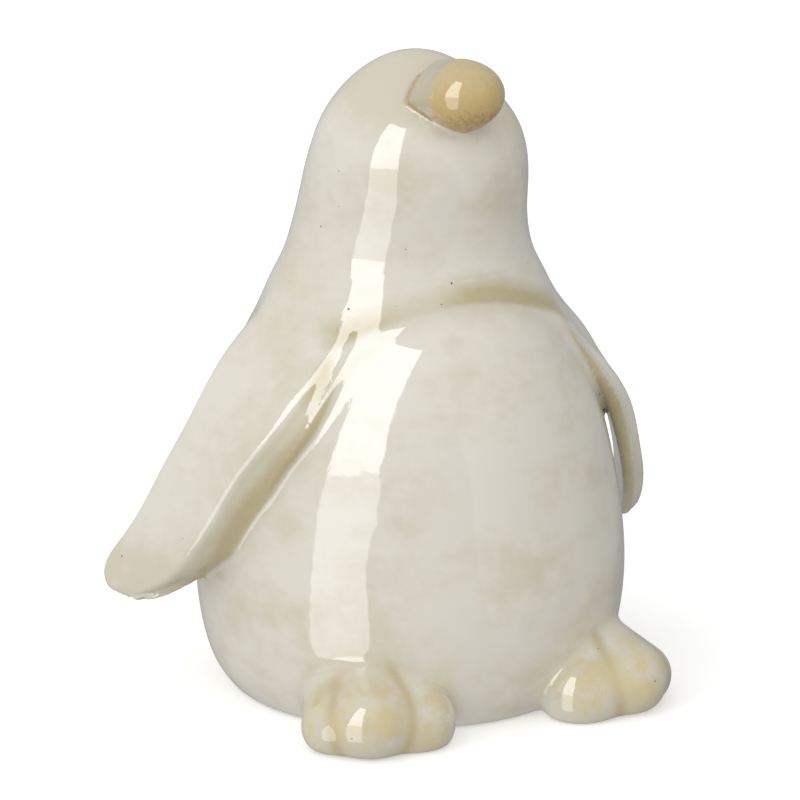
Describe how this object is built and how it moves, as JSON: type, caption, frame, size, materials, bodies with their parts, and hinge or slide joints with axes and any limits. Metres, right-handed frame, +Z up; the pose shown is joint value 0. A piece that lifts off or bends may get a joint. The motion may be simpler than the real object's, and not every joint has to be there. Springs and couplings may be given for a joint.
{
  "type": "penguin figurine",
  "caption": "Hollow glazed stoneware penguin looking up, with flippers held away from an egg-shaped belly, blunt toes and a stubby beak; stands on a flat foot ring.",
  "frame": {"origin": "middle of the figurine's footprint box, on the surface that it stands on", "axes": "+Z up; the penguin faces -Y; its own left side is +X"},
  "size_m": [0.105, 0.08, 0.1139],
  "materials": {
    "glaze_cream": "glossy cream-white glaze that breaks beige over edges and pools beige in creases",
    "glaze_ochre": "glossy ochre glaze with fine brown specks",
    "glaze_toes": "glossy cream glaze with ochre patches on the toes",
    "bare_clay": "dry unglazed stoneware"
  },
  "bodies": {
    "root": {"belly_shell": "glaze_cream", "head_shell": "glaze_cream", "left_wing": "glaze_cream", "right_wing": "glaze_cream", "beak": "glaze_ochre", "left_foot": "glaze_toes", "right_foot": "glaze_toes", "base_disc": "bare_clay"}
  },
  "joints": []
}
